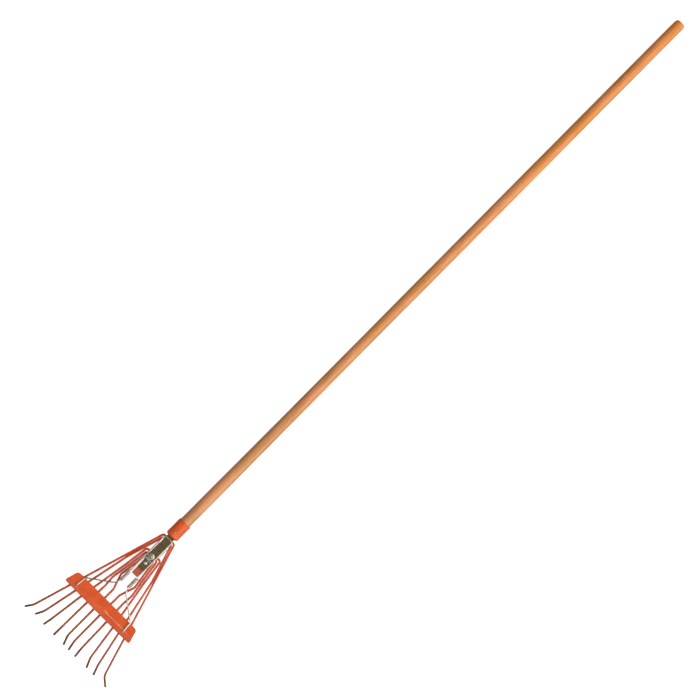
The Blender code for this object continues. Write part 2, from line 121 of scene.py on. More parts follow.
BRACE_R = 1.3 * MM
BRACE_HALF_WIDTH = 9.5
BRACE_LOOP_D = 43.0
COIL_CENTRE_X = 10.1 * MM
COIL_MEAN_R = 2.45 * MM
COIL_START_D = 131.5 * MM
COIL_PITCH = 3.4 * MM
COIL_DENSE_TURNS = 6.69
COIL_RAMP_TURNS = 0.3
COIL_RAMP_PITCH = 60.0 * MM
BRACE_BEND = (15.7, 173.0)
BRACE_AT_BAR = (60.0, 204.6)
BRACE_HOOK = (61.9, 226.5)

BAR_D = (206.0 * MM, 223.0 * MM, 235.0 * MM)
BAR_HALF_LENGTH = (78.0 * MM, 85.8 * MM)
BAR_EDGE_Z = 4.8 * MM
BAR_RIDGE_Z = 6.6 * MM
BAR_FLANGE_Z = -4.6 * MM
BAR_THICKNESS = 1.4 * MM
TINE_HOLE_R = TINE_R + 0.5 * MM
BRACE_HOLE_R = BRACE_R + 0.45 * MM

# Root D, then (x, D, bend radius) corners down to the hook, then x at the root corner, in mm.
TINE_ROUTES = {
    "outer": (ROOT_ROW_OUTER[0], ((94.4, 309.0, 0.0),), 14.2),
    "second": (ROOT_ROW_OUTER[1], ((33.2, 121.0, 60.0), (71.9, 304.0, 0.0)), 10.8),
    "third": (ROOT_ROW_INNER[0],
              ((25.4, 137.0, 60.0), (43.2, 243.0, 60.0), (51.8, 304.0, 0.0)), 17.9),
    "fourth": (ROOT_ROW_INNER[1],
               ((20.6, 137.0, 60.0), (25.6, 168.0, 18.0), (24.0, 189.0, 18.0),
                (26.2, 242.0, 60.0), (27.4, 304.0, 0.0)), 13.4),
    "inner": (ROOT_ROW_INNER[2],
              ((14.8, 130.0, 60.0), (18.2, 153.0, 9.0), (8.2, 183.0, 16.0),
               (8.1, 242.0, 60.0), (8.3, 304.0, 0.0)), 9.2),
}
# name, which route, which side of the handle, hook heading in degrees away from the middle
TINES = (
    ("tine_1", "outer", -1, 40.0),
    ("tine_2", "second", -1, 34.0),
    ("tine_3", "third", -1, 19.0),
    ("tine_4", "fourth", -1, 10.0),
    ("tine_5", "inner", -1, -10.0),
    ("tine_6", "inner", 1, 2.0),
    ("tine_7", "fourth", 1, -3.0),
    ("tine_8", "third", 1, 14.0),
    ("tine_9", "second", 1, 10.0),
    ("tine_10", "outer", 1, 41.0),
)

# ---------------------------------------------------------------------------- looks, driving values
ROUND_SIDES = 96
TINE_SIDES = 20
BRACE_SIDES = 20
RING_STEP = 4.0 * MM                # longest straight stretch of wire between two rings
UP = Vector((0.0, 0.0, 1.0))

WORLD_STRENGTH = 3.25
# The sky's brightness: ramps over the direction's x, y and z, over x times y, and overhead.
SKY_ACROSS = ((0.0, (0.14, 0.14, 0.14)), (0.35, (0.36, 0.36, 0.36)), (0.5, (0.50, 0.50, 0.50)),
              (0.70, (0.74, 0.73, 0.71)), (1.0, (0.98, 0.96, 0.93)))
SKY_ALONG = ((0.02, (0.30, 0.28, 0.26)), (0.30, (1.0, 1.0, 1.0)))
SKY_UP = ((0.0, (0.30, 0.28, 0.27)), (0.44, (0.34, 0.32, 0.31)), (0.52, (1.0, 1.0, 1.0)),
          (1.0, (1.0, 1.0, 1.0)))
SKY_OVERHEAD = ((0.925, (1.0, 1.0, 1.0)), (0.965, (0.175, 0.135, 0.075)))
SKY_QUARTERS = ((0.18, (0.12, 0.115, 0.11)), (0.5, (0.80, 0.80, 0.80)), (0.75, (1.0, 1.0, 1.0)))
FLOOR_GLOW = 0.60
# name, metres to the picture's right, its top and up, then width, watts and colour
LIGHTS = (
    ("key", (1.872, -1.82, 2.2), 0.9, 16.0, (1.0, 0.985, 0.96)),
    ("fill", (-1.82, 1.82, 2.4), 0.7, 2.0, (0.94, 0.97, 1.0)),
)
LIGHTS_D = -500.0 * MM                     # where along the handle they point
CAMERA_TARGET = (-9.2 * MM, -446.6 * MM)   # x and D of the point the camera looks at
CAMERA_TILT = 7.0                          # degrees about the handle, seen from +X
CAMERA_ROLL = 45.300                       # degrees between the handle and the picture's sides
VIEW_WIDTH = 1311.0 * MM
LENS_MM = 250.0
SENSOR_MM = 36.0


# ------------------------------------------------------------------------------ the handle's frame
def handle_frame():
    """Handle frame to row frame, from the flat on the butt that the record states as a mount."""
    mount = frame["record"]["mounts"][0]
    along = Vector(mount["axis"]).normalized()
    across = Vector((1.0, 0.0, 0.0))
    upper = across.cross(along)
    origin = Vector(mount["pos_m"]) + along * BUTT_D
    return Matrix.Translation(origin) @ Matrix((across, along, upper)).transposed().to_4x4()


TO_ROW = handle_frame()


def place(x, d, z):
    """A point in the handle's frame from its distance across, down the head and up."""
    return Vector((x, -d, z))


def row_point(x, d, z):
    return TO_ROW @ place(x, d, z)


# ------------------------------------------------------------------------------------ mesh tools
def add_object(name, data):
    obj = bpy.data.objects.new(name, data)
    bpy.context.scene.collection.objects.link(obj)
    return obj


def link(mesh, name, material):
    """An object of this mesh, moved from the handle's frame into the row frame."""
    mesh.transform(TO_ROW)
    mesh.materials.append(material)
    return add_object(name, mesh)


def finish_mesh(bm, name, sharp_degrees=40.0):
    bmesh.ops.recalc_face_normals(bm, faces=bm.faces)
    mesh = bpy.data.meshes.new(name)
    bm.to_mesh(mesh)
    bm.free()
    mesh.shade_smooth()
    mesh.set_sharp_from_angle(angle=math.radians(sharp_degrees))
    return mesh


def loft(rings, bm=None, capped=True, closed=False):
    """Bridge rings that all have the same number of points."""
    bm = bm or bmesh.new()
    loops = [[bm.verts.new(point) for point in ring] for ring in rings]
    count = len(loops[0])
    pairs = list(zip(loops, loops[1:]))
    if closed:
        pairs.append((loops[-1], loops[0]))
    for low, high in pairs:
        for i in range(count):
            j = (i + 1) % count
            bm.faces.new((low[i], low[j], high[j], high[i]))
    if capped and not closed:
        bm.faces.new(loops[0])
        bm.faces.new(loops[-1])
    return bm


def circle(centre, radius, axis_u, axis_v, sides):
    ring = []
    for i in range(sides):
        angle = 2.0 * math.pi * i / sides
        ring.append(centre + axis_u * (radius * math.cos(angle)) + axis_v * (radius * math.sin(angle)))
    return ring


def lathe(profile, base, axis, sides=ROUND_SIDES, closed=False, bm=None):
    """Turn (along, radius) points about an axis through base."""
    axis = axis.normalized()
    axis_u = axis.orthogonal().normalized()
    axis_v = axis.cross(axis_u)
    rings = [circle(base + axis * along, radius, axis_u, axis_v, sides) for along, radius in profile]
    return loft(rings, bm, closed=closed)


def arc(centre, radius, start, end, steps):
    """(u, v) points on an arc; angles in degrees."""
    points = []
    for i in range(steps + 1):
        angle = math.radians(start + (end - start) * i / steps)
        points.append((centre[0] + radius * math.cos(angle), centre[1] + radius * math.sin(angle)))
    return points


def round_corners(corners, step_degrees=5.0):
    """Points along straight runs joined by arcs; corners are (point, bend radius)."""
    points = [corners[0][0]]
    for (before, _), (corner, radius), (after, _) in zip(corners, corners[1:], corners[2:]):
        back = (before - corner).normalized()
        ahead = (after - corner).normalized()
        turn = math.pi - back.angle(ahead)
        if radius == 0.0 or turn < 1e-4:
            points.append(corner)
            continue
        reach = radius * math.tan(turn / 2.0)
        centre = corner + (back + ahead).normalized() * (radius / math.cos(turn / 2.0))
        first = corner + back * reach - centre
        normal = first.cross(corner + ahead * reach - centre).normalized()
        steps = max(2, math.ceil(math.degrees(turn) / step_degrees))
        for i in range(steps + 1):
            points.append(centre + Matrix.Rotation(turn * i / steps, 3, normal) @ first)
    points.append(corners[-1][0])
    return points


def fill_runs(points, longest=RING_STEP):
    """Extra points on the straight stretches, so that a wire can bend there."""
    filled = [points[0]]
    for low, high in zip(points, points[1:]):
        pieces = max(1, math.ceil((high - low).length / longest))
        for i in range(1, pieces + 1):
            filled.append(low.lerp(high, i / pieces))
    return filled


def path_tangents(points):
    tangents = []
    for i, point in enumerate(points):
        before = points[max(i - 1, 0)]
        after = points[min(i + 1, len(points) - 1)]
        ahead = (after - point).normalized() if after != point else Vector()
        behind = (point - before).normalized() if before != point else Vector()
        tangents.append((ahead + behind).normalized())
    return tangents


def wire_mesh(points, radius, sides, name, end_round):
    """A round wire along points with softly rounded ends.

    The attribute "rod" straightens the wire: x and y round its section and z along it, in
    metres, so that its material follows every bend and stays put as the wire flexes.
    """
    tangents = path_tangents(points)
    rings = []
    rod = []
    axis_u = tangents[0].orthogonal().normalized()
    travelled = 0.0

    def add_ring(centre, tangent, size, z):
        axis_v = tangent.cross(axis_u)
        rings.append(circle(centre, size, axis_u, axis_v, sides))
        rod.extend(circle(Vector((0, 0, z)), size, Vector((1, 0, 0)), Vector((0, 1, 0)), sides))

    steps = 4
    for i, (point, tangent) in enumerate(zip(points, tangents)):
        axis_u = (axis_u - tangent * axis_u.dot(tangent)).normalized()
        if i:
            travelled += (point - points[i - 1]).length
        if i == 0:
            for u, v in arc((end_round, radius - end_round), end_round, 180.0, 90.0, steps):
                add_ring(point + tangent * u, tangent, v, u)
        elif i == len(points) - 1:
            for u, v in arc((-end_round, radius - end_round), end_round, 90.0, 0.0, steps):
                add_ring(point + tangent * u, tangent, v, travelled + u)
        else:
            add_ring(point, tangent, radius, travelled)
    mesh = finish_mesh(loft(rings), name, 60.0)
    add_rest(mesh, rod)
    return mesh


def add_rest(mesh, values=None):
    """Store the coordinate that the materials read: given, or the vertex's own place."""
    attribute = mesh.attributes.new("rod", "FLOAT_VECTOR", "POINT")
    for i, vertex in enumerate(mesh.vertices):
        attribute.data[i].vector = values[i] if values else vertex.co


def solid_piece(bm, name, material, sharp_degrees=40.0):
    mesh = finish_mesh(bm, name, sharp_degrees)
    add_rest(mesh)
    return link(mesh, name, material)


def cut(obj, cutter_bm):
    """Subtract closed shapes given in the handle's frame, and apply it."""
    bmesh.ops.recalc_face_normals(cutter_bm, faces=cutter_bm.faces)
    mesh = bpy.data.meshes.new("cutter")
    cutter_bm.to_mesh(mesh)
    cutter_bm.free()
    mesh.transform(TO_ROW)
    cutter = add_object("cutter", mesh)
    modifier = obj.modifiers.new("cut", "BOOLEAN")
    modifier.operation = "DIFFERENCE"
    modifier.object = cutter
    modifier.solver = "EXACT"
    apply_modifiers(obj)
    bpy.data.objects.remove(cutter, do_unlink=True)


def apply_modifiers(obj):
    bpy.context.view_layer.update()
    graph = bpy.context.evaluated_depsgraph_get()
    mesh = bpy.data.meshes.new_from_object(obj.evaluated_get(graph))
    obj.modifiers.clear()
    old = obj.data
    obj.data = mesh
    bpy.data.meshes.remove(old)


def renew_rest(obj):
    """Write the coordinate again after modifiers have made new vertices."""
    back = TO_ROW.inverted()
    attribute = obj.data.attributes["rod"]
    for i, vertex in enumerate(obj.data.vertices):
        attribute.data[i].vector = back @ vertex.co


def bevel(obj, width, segments=3, degrees=35.0):
    modifier = obj.modifiers.new("bevel", "BEVEL")
    modifier.width = width
    modifier.segments = segments
    modifier.limit_method = "ANGLE"
    modifier.angle_limit = math.radians(degrees)


def settle(obj, node, body):
    """Ride on a body in place of a CAD node."""
    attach(obj, body)
    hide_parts(node)
    return obj


# ------------------------------------------------------------------------------- material tools
class Nodes:
    """Short names for building the node tree of a new material or world."""

    def __init__(self, owner):
        owner.use_nodes = True
        self.owner = owner
        self.tree = owner.node_tree
        self.shader = self.tree.nodes.get("Principled BSDF")

    def add(self, kind, **settings):
        node = self.tree.nodes.new(kind)
        for key, value in settings.items():
            setattr(node, key, value)
        return node

    def wire(self, source, target):
        self.tree.links.new(source, target)

    def rod(self, scale=(1.0, 1.0, 1.0)):
        """The piece's own coordinate, in millimetres, stretched by scale."""
        source = self.add("ShaderNodeAttribute", attribute_name="rod")
        mapping = self.add("ShaderNodeMapping")
        mapping.inputs["Scale"].default_value = [1000.0 * s for s in scale]
        self.wire(source.outputs["Vector"], mapping.inputs["Vector"])
        return mapping.outputs["Vector"]

    def noise(self, vector, scale, detail=4.0, roughness=0.55, distortion=0.0):
        node = self.add("ShaderNodeTexNoise")
        node.inputs["Scale"].default_value = scale
        node.inputs["Detail"].default_value = detail
        node.inputs["Roughness"].default_value = roughness
        node.inputs["Distortion"].default_value = distortion
        self.wire(vector, node.inputs["Vector"])
        return node.outputs["Fac"]

    def ramp(self, value, stops):
        node = self.add("ShaderNodeValToRGB")
        elements = node.color_ramp.elements
        while len(elements) < len(stops):
            elements.new(0.5)
        for element, (position, colour) in zip(elements, stops):
            element.position = position
            element.color = (*colour, 1.0)
        self.wire(value, node.inputs["Fac"])
        return node.outputs["Color"]

    def math(self, operation, first, second=None, third=None):
        node = self.add("ShaderNodeMath", operation=operation)
        for socket, value in zip(node.inputs, (first, second, third)):
            if value is None:
                continue
            if isinstance(value, (int, float)):
                socket.default_value = value
            else:
                self.wire(value, socket)
        return node.outputs["Value"]

    def times(self, first, second):
        return self.math("MULTIPLY", first, second)

    def span(self, value, low, high, to_low=0.0, to_high=1.0):
        node = self.add("ShaderNodeMapRange")
        node.inputs["From Min"].default_value = low
        node.inputs["From Max"].default_value = high
        node.inputs["To Min"].default_value = to_low
        node.inputs["To Max"].default_value = to_high
        self.wire(value, node.inputs["Value"])
        return node.outputs["Result"]

    def split(self, vector):
        node = self.add("ShaderNodeSeparateXYZ")
        self.wire(vector, node.inputs["Vector"])
        return node.outputs

    def mix(self, factor, first, second, blend="MIX"):
        node = self.add("ShaderNodeMix", data_type="RGBA", blend_type=blend)
        for socket, value in ((node.inputs[0], factor), (node.inputs[6], first), (node.inputs[7], second)):
            if isinstance(value, (int, float)):
                socket.default_value = value
            elif isinstance(value, tuple):
                socket.default_value = (*value, 1.0)
            else:
                self.wire(value, socket)
        return node.outputs[2]

    def bump(self, height, strength, distance):
        node = self.add("ShaderNodeBump")
        node.inputs["Strength"].default_value = strength
        node.inputs["Distance"].default_value = distance
        self.wire(height, node.inputs["Height"])
        self.wire(node.outputs["Normal"], self.shader.inputs["Normal"])

    def set(self, **values):
        for name, value in values.items():
            socket = self.shader.inputs[name.replace("_", " ")]
            if isinstance(value, (int, float, tuple)):
                socket.default_value = value
            else:
                self.wire(value, socket)


def new_material(name):
    return Nodes(bpy.data.materials.new(name))


# -------------------------------------------------------------------------------- the materials
def wood_material():
    """Straight-grained pole under a thin varnish, with growth rings, streaks and open pores."""
    n = new_material("varnished_wood")
    across, along, up = n.split(n.rod())
    wander = n.noise(n.rod((0.020, 0.0016, 0.020)), 1.0, 3.0)
    ring_x = n.math("ADD", n.math("ADD", across, 31.0), n.times(wander, 14.0))
    ring_z = n.math("ADD", up, 17.0)
    reach = n.math("SQRT", n.math("ADD", n.math("POWER", ring_x, 2.0), n.math("POWER", ring_z, 2.0)))
    late = n.span(n.math("FRACT", n.times(reach, 0.42)), 0.50, 0.98)
    streak = n.noise(n.rod((0.50, 0.007, 0.50)), 1.0, 5.0, 0.62)
    blotch = n.noise(n.rod((0.05, 0.014, 0.05)), 1.0, 4.0)
    fibre = n.noise(n.rod((3.2, 0.05, 3.2)), 1.0, 3.0, 0.6)
    pore = n.span(n.noise(n.rod((4.5, 0.16, 4.5)), 1.0, 1.0), 0.64, 0.72)

    butt_tone = n.ramp(streak, ((0.30, (0.51, 0.155, 0.018)), (0.50, (0.74, 0.246, 0.031)),
                                (0.70, (0.88, 0.345, 0.058))))
    head_tone = n.ramp(streak, ((0.30, (0.40, 0.175, 0.062)), (0.50, (0.60, 0.282, 0.108)),
                                (0.70, (0.70, 0.355, 0.160))))
    tone = n.mix(n.span(along, 1150.0, 100.0), butt_tone, head_tone)
    ringed = n.mix(n.times(late, 0.45), tone, (0.33, 0.105, 0.022))
    rosy = n.mix(n.span(blotch, 0.46, 0.62, 0.0, 0.55), ringed, (0.74, 0.30, 0.140))
    golden = n.mix(n.span(blotch, 0.45, 0.32, 0.0, 0.45), rosy, (0.52, 0.235, 0.036))
    fibred = n.mix(n.span(fibre, 0.35, 0.62, 0.50, 0.0), golden, (0.24, 0.080, 0.020))
    pored = n.mix(n.times(pore, 0.65), fibred, (0.13, 0.048, 0.016))
    rub_and_sheen = n.span(n.noise(n.rod((0.10, 0.02, 0.10)), 1.0, 4.0), 0.40, 0.68, 0.34, 0.52)
    n.set(Base_Color=pored, Roughness=rub_and_sheen, Coat_Weight=0.08, Coat_Roughness=0.25, Specular_IOR_Level=0.30)
    n.bump(n.math("SUBTRACT", n.times(fibre, 0.5), pore), 0.35, 0.00012)
    return n.owner


def paint_layers(n, plain, bright, deep, chip_at):
    """Enamel colour and bare-metal mask shared by the painted pieces."""
    cloud = n.noise(plain, 0.055, 4.0)
    speck = n.noise(plain, 1.9, 2.0)
    colour = n.mix(n.span(cloud, 0.32, 0.68), bright, deep)
    colour = n.mix(n.span(speck, 0.60, 0.74, 0.0, 0.30), colour, tuple(0.55 * c for c in deep))
    scratch = n.noise(n.rod((0.9, 0.10, 0.9)), 1.0, 6.0, 0.7, 1.2)
    edge = n.add("ShaderNodeNewGeometry").outputs["Pointiness"]
    raised = n.span(edge, 0.515, 0.60)
    chip = n.span(n.math("ADD", n.times(raised, 0.55), n.times(scratch, 0.9)),
                  chip_at, chip_at + 0.05)
    return colour, chip


def orange_paint_material(name, crease_highlight_at=None, streaked_to=None):
    """Orange-red enamel on pressed sheet: slight orange peel, rubbed edges and fine scuffs.

    The second argument is the D, in mm, of a raised crease: a pale line of painted highlight runs along it
    on the +X half.
    The third argument is the D, in mm, of the far end of a piece with lengthwise streaks: the pale ones are
    painted highlight lines, the dark ones a darker brown tone; over its last 20 mm the piece turns duller
    and browner.
    """
    n = new_material(name)
    plain = n.rod()
    colour, chip = paint_layers(n, plain, (0.68, 0.082, 0.006), (0.52, 0.050, 0.005), 0.93)
    worn = n.mix(chip, colour, (0.23, 0.14, 0.10))
    dust = n.span(n.noise(plain, 0.22, 5.0, 0.65), 0.45, 0.75, 0.0, 0.14)
    finished = n.mix(dust, worn, (0.66, 0.27, 0.11))
    scuff = n.span(n.noise(n.rod((0.035, 0.75, 0.5)), 1.0, 4.0, 0.65), 0.60, 0.72, 0.0, 0.35)
    finished = n.mix(scuff, finished, (0.80, 0.26, 0.10))
    if crease_highlight_at is not None:
        # Painted highlight: a pale line along the crease on the +X half, where the key light falls, broken
        # by noise.
        across, along, _ = n.split(plain)
        off_crease = n.math("ABSOLUTE", n.math("ADD", along, crease_highlight_at))
        line = n.span(off_crease, 1.5, 0.5)
        where = n.times(n.span(across, -8.0, 14.0), n.span(across, 82.0, 60.0))
        broken = n.span(n.noise(n.rod((0.09, 0.3, 0.3)), 1.0, 4.0, 0.7), 0.42, 0.56)
        rub_and_sheen = n.times(n.times(line, where), broken)
        finished = n.mix(n.times(rub_and_sheen, 0.75), finished, (0.86, 0.46, 0.29))
    if streaked_to is not None:
        # Painted highlight: the pale lengthwise streaks stand in for highlight lines along the socket; the
        # dark streaks are a darker brown tone.
        streak = n.noise(n.rod((0.50, 0.06, 0.50)), 1.0, 4.0, 0.65)
        finished = n.mix(n.span(streak, 0.53, 0.66, 0.0, 0.38), finished, (0.60, 0.23, 0.035))
        finished = n.mix(n.span(streak, 0.45, 0.33, 0.0, 0.42), finished, (0.30, 0.030, 0.006))
        # Duller and browner over the tongue's last 20 mm.
        dulling = n.span(n.split(plain)[1], 20.0 - streaked_to, 12.0 - streaked_to, 0.0, 0.65)
        finished = n.mix(dulling, finished, (0.37, 0.14, 0.085))
        n.set(Specular_IOR_Level=0.35)
    rough = n.span(n.noise(plain, 0.35, 4.0), 0.35, 0.70, 0.27, 0.44)
    n.set(Base_Color=finished, Roughness=rough, Metallic=n.times(chip, 0.5), Coat_Roughness=0.12,
          Coat_Weight=0.20 if streaked_to is None else 0.06)
    peel = n.noise(plain, 0.9, 2.0)
    n.bump(n.math("SUBTRACT", n.times(peel, 0.35), n.times(chip, 0.6)), 0.30, 0.00012)
    return n.owner


def tine_paint_material(length_mm):
    """The same enamel on wire: darker down the wire, rubbed through to grey steel at the tip."""
    n = new_material("tine_paint_{:.0f}".format(length_mm))
    plain = n.rod()
    along = n.split(plain)[2]
    colour, chip = paint_layers(n, plain, (0.60, 0.068, 0.008), (0.38, 0.034, 0.007), 0.90)
    # Darker and browner from 150 mm above the tip, fully so over the last 60 mm, in patches.
    dulling = n.noise(plain, 0.16, 5.0, 0.65)
    from_tip = n.math("SUBTRACT", length_mm, along)
    lower = n.span(from_tip, 150.0, 60.0)
    dulled = n.times(lower, n.span(dulling, 0.20, 0.60, 0.60, 1.0))
    dull = n.mix(dulled, colour, (0.245, 0.050, 0.015))
    frayed = n.math("ADD", from_tip, n.times(dulling, 16.0))
    bare = n.span(frayed, 22.0, 14.0)
    steel = n.mix(n.span(dulling, 0.40, 0.62), (0.27, 0.24, 0.22), (0.30, 0.19, 0.14))
    worn = n.mix(chip, dull, (0.20, 0.12, 0.09))
    n.set(Base_Color=n.mix(bare, worn, steel), Metallic=n.times(bare, 0.65),
          Roughness=n.span(dulling, 0.35, 0.70, 0.26, 0.48), Coat_Weight=0.10, Coat_Roughness=0.12,
          Specular_IOR_Level=0.40)
    drag = n.noise(n.rod((0.8, 0.8, 0.18)), 1.0, 4.0)
    n.bump(n.math("SUBTRACT", n.times(drag, 0.5), n.times(chip, 0.5)), 0.30, 0.00010)
    return n.owner


def plated_material():
    """Bright nickel plating with a warm tarnish and fine handling scratches."""
    n = new_material("plated_steel")
    plain = n.rod()
    tarnish = n.noise(plain, 0.11, 5.0, 0.6)
    tint = n.ramp(tarnish, ((0.30, (0.60, 0.58, 0.52)), (0.55, (0.50, 0.47, 0.39)),
                            (0.75, (0.36, 0.31, 0.22))))
    lines = n.noise(n.rod((2.4, 0.06, 2.4)), 1.0, 4.0, 0.6)
    spots = n.span(n.noise(plain, 0.9, 3.0), 0.66, 0.74)
    rough = n.math("ADD", n.span(lines, 0.35, 0.70, 0.07, 0.17), n.times(spots, 0.25))
    spotted = n.mix(n.times(spots, 0.5), tint, (0.22, 0.16, 0.10))
    n.set(Base_Color=spotted, Metallic=1.0, Roughness=rough)
    n.bump(lines, 0.12, 0.00004)
    return n.owner


def zinc_material(name, dulled=0.0):
    """Passivated zinc on the fasteners: grey-green, cloudy, with a fine grit; dulled turns it olive."""
    n = new_material(name)
    plain = n.rod()
    cloud = n.noise(plain, 0.35, 4.0, 0.6)
    tint = n.ramp(cloud, ((0.30, (0.50, 0.54, 0.48)), (0.55, (0.66, 0.69, 0.62)),
                          (0.75, (0.74, 0.72, 0.60))))
    grit = n.noise(plain, 3.5, 3.0)
    tarnished = n.mix(n.span(grit, 0.30, 0.70, 0.85 * dulled, dulled), tint, (0.27, 0.19, 0.05))
    n.set(Base_Color=tarnished, Metallic=1.0, Roughness=n.span(grit, 0.30, 0.70, 0.22, 0.40))
    n.bump(grit, 0.18, 0.00005)
    return n.owner


def floor_material():
    """Pale paper backdrop with a barely visible tooth."""
    n = new_material("pale_floor")
    source = n.add("ShaderNodeTexCoord").outputs["Object"]
    tooth = n.noise(source, 60.0, 3.0)
    n.set(Base_Color=n.ramp(tooth, ((0.3, (0.90, 0.90, 0.89)), (0.7, (0.93, 0.93, 0.92)))), Roughness=0.9,
          Emission_Color=(1.0, 1.0, 1.0, 1.0), Emission_Strength=FLOOR_GLOW)
    return n.owner


# --------------------------------------------------------------------- heights in the clamp
def tongue_top(d):
    return -TINE_R - ROOT_CLEARANCE[1] + ROOT_SLOPE * (d - ROOT_CLEARANCE_D)


def above_roots(d):
    return TINE_R + ROOT_CLEARANCE[0] + ROOT_SLOPE * (d - ROOT_CLEARANCE_D)


def brace_z(d):
    return above_roots(d) + CLAMP_THICKNESS + GAP + BRACE_R


# ------------------------------------------------------------------------------------ the pieces
def make_handle(material):
    """The pole: slightly uneven, thinner above its lower end, domed at the butt."""
    profile = [(-SOCKET_D, 6.0 * MM), (-SOCKET_D, HANDLE_R - 1.5 * MM), (-SOCKET_D + 2.0 * MM, HANDLE_R)]
    round_start = -BUTT_D - BUTT_ROUND
    foot = -SOCKET_D + 2.0 * MM
    rings = 260
    for i in range(1, rings + 1):
        y = foot + (round_start - foot) * i / rings
        uneven = 0.05 * MM * math.sin(y * 23.0) + 0.04 * MM * math.sin(y * 61.0 + 1.0)
        share = min(max((y + HANDLE_TAPER_D[0]) / (HANDLE_TAPER_D[0] - HANDLE_TAPER_D[1]), 0.0), 1.0)
        radius = HANDLE_R + (HANDLE_THIN_R - HANDLE_R) * share
        profile.append((y, radius - 0.09 * MM + uneven))
    steps = 14
    for i in range(1, steps + 1):
        angle = 0.5 * math.pi * i / steps
        radius = BUTT_FLAT_R + (HANDLE_THIN_R - 0.1 * MM - BUTT_FLAT_R) * math.cos(angle)
        profile.append((round_start + BUTT_ROUND * math.sin(angle), radius))
    profile.append((-BUTT_D, 2.5 * MM))
    handle = solid_piece(lathe(profile, Vector(), Vector((0, 1, 0))), "handle_pole", material, 50.0)
    return settle(handle, "handle", "root")


def ferrule_ring(d, half_width, half_height, centre_z, squareness, seam=0.0):
    """A ring between a circle (squareness 2) and a flat bar (squareness 8), seam underneath."""
    ring = []
    for i in range(ROUND_SIDES):
        angle = 2.0 * math.pi * (i + 0.5) / ROUND_SIDES
        c = math.cos(angle)
        s = math.sin(angle)
        under = max(0.0, 1.0 - abs(i + 0.5 - 0.75 * ROUND_SIDES) / 1.6)
        x = (half_width - seam * under) * math.copysign(abs(c) ** (2.0 / squareness), c)
        z = (half_height - seam * under) * math.copysign(abs(s) ** (2.0 / squareness), s)
        ring.append(place(x, d, centre_z + z))
    return ring


def make_ferrule(material):
    """Pressed socket: rolled mouth, butted seam underneath, domed end and flat tongue."""
    bore_r = HANDLE_R + GAP
    seam = 0.35 * MM
    rings = [ferrule_ring(d, r, r, 0.0, 2.0) for d, r in (
        (SOCKET_D + GAP, bore_r - 1.5 * MM), (SOCKET_D - 1.7 * MM, bore_r), (1.2 * MM, bore_r))]
    for u, v in arc((0.65 * MM, 0.5 * (bore_r + FERRULE_LIP_R)), 0.65 * MM, 290.0, 90.0, 10):
        rings.append(ferrule_ring(u, v, v, 0.0, 2.0, seam * 0.5))
    for d, radius in ((2.0 * MM, FERRULE_LIP_R - 0.05 * MM), (2.7 * MM, FERRULE_R + 0.08 * MM)):
        rings.append(ferrule_ring(d, radius, radius, 0.0, 2.0, seam))
    for i in range(12):
        d = 3.2 * MM + (FERRULE_END_D - 6.4 * MM) * i / 11
        rings.append(ferrule_ring(d, FERRULE_R, FERRULE_R, 0.0, 2.0, seam))
    shoulder = FERRULE_END_D - 3.0 * MM
    for u, v in arc((0.0, FERRULE_R - 3.0 * MM), 3.0 * MM, 80.0, 20.0, 6):
        sink = -0.5 * MM * (u / (3.0 * MM)) ** 2
        rings.append(ferrule_ring(shoulder + u, v, v, sink, 2.0 + 0.3 * u / (3.0 * MM)))
    tongue_root = FERRULE_END_D + 3.2 * MM
    half_thick = TONGUE_THICKNESS / 2.0
    root_z = tongue_top(tongue_root) - half_thick
    start = (FERRULE_END_D, 10.6 * MM, 9.9 * MM, -0.7 * MM, 2.4)
    end = (tongue_root, TONGUE_HALF_WIDTH, half_thick, root_z, 8.0)
    for i in range(1, 9):
        t = i / 8.0
        ease = 1.0 - (1.0 - t) ** 2
        drop = math.sin(0.5 * math.pi * t)
        rings.append(ferrule_ring(
            start[0] + (end[0] - start[0]) * t,
            start[1] + (end[1] - start[1]) * ease,
            start[2] + (end[2] - start[2]) * drop,
            start[3] + (end[3] - start[3]) * drop,
            start[4] + (end[4] - start[4]) * t))
    corner = 2.0 * MM
    for i in range(1, 25):
        d = tongue_root + (TONGUE_END_D - corner - tongue_root) * i / 24
        rings.append(ferrule_ring(d, TONGUE_HALF_WIDTH, half_thick, tongue_top(d) - half_thick, 8.0))
    for u, v in arc((0.0, TONGUE_HALF_WIDTH - corner), corner, 75.0, 0.0, 6):
        d = TONGUE_END_D - corner + u
        rings.append(ferrule_ring(d, v, half_thick * (0.82 + 0.18 * v / TONGUE_HALF_WIDTH),
                                  tongue_top(d) - half_thick, 8.0))
    ferrule = solid_piece(loft(rings), "ferrule_socket", material, 45.0)
    return settle(ferrule, "ferrule", "root")


def head_profile(start, radius, height, edge=0.25 * MM, steps=10):
    """(along, radius) points of a domed head: a short rim and then the dome."""
    rim = 0.4 * edge
    points = [(start, radius - edge), (start + rim, radius)]
    for i in range(1, steps + 1):
        angle = 0.5 * math.pi * i / (steps + 0.35)
        points.append((start + rim + (height - rim) * math.sin(angle), radius * math.cos(angle)))
    return points


def make_nail(material):
    shank = 1.2 * MM
    profile = [(-12.0 * MM, shank * 0.3), (-10.5 * MM, shank), (0.0, shank)]
    profile += head_profile(0.0, *NAIL_HEAD)
    nail = lathe(profile, place(0, NAIL_D, FERRULE_R + GAP), UP, 40)
    return settle(solid_piece(nail, "ferrule_nail_head", material), "ferrule_nail", "root")


